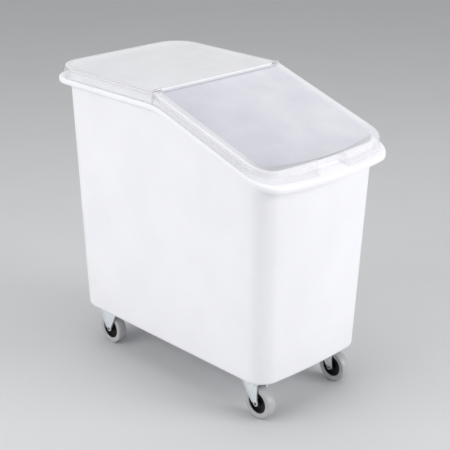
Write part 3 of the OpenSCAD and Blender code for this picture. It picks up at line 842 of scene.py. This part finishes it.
def leg_edge(corner, foot, eye, top_z):
    """Turned edge along one side of a leg, from a level down to just above the eye."""
    corner, foot, eye = Vector(corner), Vector(foot), Vector(eye)
    up = (corner - foot).normalized()
    inward = (eye - foot).normalized() * FLANGE_W
    top, low = foot + up * ((top_z - foot.y) / up.y), foot + up * EYE_R
    return [tuple(p) for p in (top, low, low + inward, top + inward)]


def add_legs(mesh, centre, top_half, top_z, edge_z, eye):
    """Both legs of a fork or bracket with their turned edges, on either side of its wheel."""
    outline = leg_outline(top_half, top_z, eye)
    edges = [leg_edge(outline[1], outline[2], eye, edge_z), leg_edge(outline[0], outline[-1], eye, edge_z)]
    edge_t = SHEET_T + FLANGE_H
    for leg_x, edge_x in ((-LEG_GAP - SHEET_T, -LEG_GAP - edge_t), (LEG_GAP, LEG_GAP)):
        add_plate(mesh, outline, SHEET_T, SHEET_EDGE_R, upright(centre.x + leg_x, centre.y))
        for edge in edges:
            add_plate(mesh, edge, edge_t, SHEET_EDGE_R / 2, upright(centre.x + edge_x, centre.y))


def crown_outline():
    """Plan of a fork's crown: a disc with straight shoulders over the legs."""
    half = LEG_GAP + SHEET_T
    lean = math.degrees(math.acos(half / CROWN_R))
    right = arc((0, 0), CROWN_R, -lean, lean, CORNER_STEPS)
    left = arc((0, 0), CROWN_R, 180 - lean, 180 + lean, CORNER_STEPS)
    return right + [(half, FORK_TOP), (-half, FORK_TOP)] + left + [(-half, -FORK_TOP), (half, -FORK_TOP)]


def add_top_plate(mesh, centre):
    """The plate that a caster hangs from."""
    half_l, half_w = PLATE_L / 2, PLATE_W / 2
    corners = [(half_w, half_l), (-half_w, half_l), (-half_w, -half_l), (half_w, -half_l)]
    place = Matrix.Translation((centre.x, centre.y, TUB_FLOOR_Z - SHEET_T))
    add_plate(mesh, eased(corners, PLATE_CORNER_R, PLATE_CORNER_STEPS), SHEET_T, SHEET_EDGE_R, place)


def make_wheel(corner):
    """Tyre and hub of one caster."""
    tyre, hub = f"{corner}_tyre", f"{corner}_hub"
    axle = Matrix.Translation(middle(tyre)) @ Matrix.Rotation(math.pi / 2, 4, "Y")
    half = TYRE_W / 2
    edge_r = WHEEL_R - TYRE_CROWN
    crown = [(WHEEL_R - TYRE_CROWN * share ** 2, half * share) for share in TREAD_SHARES]
    section = [(HUB_R, half), (HUB_R, -half), (edge_r, -half), *crown, (edge_r, half)]
    mesh = bmesh.new()
    add_turned(mesh, eased(section, TYRE_SHOULDER_R, SHOULDER_STEPS), axle)
    add_piece(mesh, f"{corner}_tyre_ring", "tyre_rubber", f"{corner}_wheel", tyre)
    boss, web, felloe = HUB_W / 2, HUB_WEB_T / 2, HUB_FELLOE_W / 2
    side = [(HUB_R, felloe), (HUB_FELLOE_R, felloe), (HUB_FELLOE_R, web),
            (HUB_BOSS_R, web), (HUB_BOSS_R, boss), (HUB_BORE_R, boss)]
    mesh = bmesh.new()
    add_turned(mesh, eased(side + [(r, -h) for r, h in reversed(side)], HUB_EDGE_R), axle)
    add_piece(mesh, f"{corner}_hub_disc", "hub_plastic", f"{corner}_wheel", hub)


def make_front_caster(side):
    """Fork, plate and wheel of a swivel caster."""
    corner = f"front_{side}"
    pivot, axle = middle(f"{corner}_kingpin"), middle(f"{corner}_tyre")
    _, fork_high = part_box(f"{corner}_fork")
    crown_low = fork_high.z - SHEET_T
    mesh = bmesh.new()
    crown_place = Matrix.Translation((pivot.x, pivot.y, crown_low))
    add_plate(mesh, crown_outline(), SHEET_T, SHEET_EDGE_R, crown_place)
    add_legs(mesh, pivot, FORK_TOP, crown_low + SHEET_T / 2, crown_low, (axle.y - pivot.y, axle.z))
    add_piece(mesh, f"{corner}_fork_pressing", "zinc_steel", f"{corner}_swivel", f"{corner}_fork")
    mesh = bmesh.new()
    add_top_plate(mesh, pivot)
    add_piece(mesh, f"{corner}_plate", "zinc_steel", "tub", f"{corner}_top_plate")
    make_wheel(corner)


def make_rear_caster(side):
    """Bracket and wheel of a rigid caster, whose legs meet its plate."""
    corner = f"rear_{side}"
    axle = middle(f"{corner}_tyre")
    mesh = bmesh.new()
    add_top_plate(mesh, axle)
    _, fork_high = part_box("front_left_fork")
    plate_low = TUB_FLOOR_Z - SHEET_T
    add_legs(mesh, axle, PLATE_L / 2 - SHEET_T, plate_low, fork_high.z - SHEET_T, (0, axle.z))
    add_piece(mesh, f"{corner}_bracket_pressing", "zinc_steel", "tub", f"{corner}_bracket")
    make_wheel(corner)


def dress_cad_nodes():
    """Gives the nodes that stay as they are their material."""
    slots = {row["node"]: row["material_slot"] for row in frame["record"]["subparts"]}
    for name, node in frame["nodes"].items():
        if not node.hide_render:
            node.data.materials.clear()
            # Axle bolts take the darkened steel, a painted shade for their shadowed ends
            finish = "shade_darkened_steel" if name.endswith("axle_bolt") else slots[name]
            node.data.materials.append(MATERIALS[finish])


def make_floor():
    """A pale floor that keeps the object's shadow."""
    mesh = bmesh.new()
    bmesh.ops.create_grid(mesh, x_segments=1, y_segments=1, size=FLOOR_HALF)
    data = bpy.data.meshes.new("floor")
    mesh.to_mesh(data)
    mesh.free()
    material, sheet, place, feed = new_material("floor_pale", Roughness=0.9, Specular_IOR_Level=0.1)
    cloud = noise(sheet, place, 3.0, 2.0)
    feed(Base_Color=cloud.blend(rgb(0.60, 0.605, 0.61), rgb(0.63, 0.635, 0.64)))
    data.materials.append(material)
    floor = bpy.data.objects.new("floor", data)
    bpy.context.scene.collection.objects.link(floor)


def add_lamp(name, place, size, power):
    """A soft square lamp that faces the middle of the bin."""
    data = bpy.data.lights.new(name, "AREA")
    data.shape = "SQUARE"
    data.size = size
    data.energy = power
    lamp = bpy.data.objects.new(name, data)
    lamp.location = place
    lamp.rotation_euler = (LAMP_AIM - lamp.location).to_track_quat("-Z", "Y").to_euler()
    bpy.context.scene.collection.objects.link(lamp)


def make_light():
    """Studio light: a broad key from the front, a fill from the left and a sheet of light above."""
    world = bpy.data.worlds.new("studio")
    world.use_nodes = True
    sky = world.node_tree.nodes["Background"]
    sky.inputs["Color"].default_value = rgb(0.93, 0.94, 0.96)
    sky.inputs["Strength"].default_value = WORLD_STRENGTH
    bpy.context.scene.world = world
    add_lamp("front_key", place=(1.4, -3.1, 1.5), size=2.0, power=65.0)
    add_lamp("left_fill", place=(-3.2, 0.8, 1.6), size=2.8, power=60.0)
    add_lamp("top_sheet", place=(0.0, 0.3, 3.4), size=3.0, power=31.0)


def make_camera():
    """Camera at the photograph's viewing angle."""
    data = bpy.data.cameras.new("camera")
    data.sensor_width = CAMERA_SENSOR_W
    data.lens = CAMERA_LENS
    camera = bpy.data.objects.new("camera", data)
    camera.location = CAMERA_EYE
    camera.rotation_euler = (CAMERA_AIM - CAMERA_EYE).to_track_quat("-Z", "Y").to_euler()
    bpy.context.scene.collection.objects.link(camera)
    bpy.context.scene.camera = camera


make_tub()
make_rear_cover()
make_front_flap()
for side in ("left", "right"):
    make_front_caster(side)
    make_rear_caster(side)
dress_cad_nodes()
make_floor()
make_light()
make_camera()
bpy.context.scene.view_settings.view_transform = "Standard"
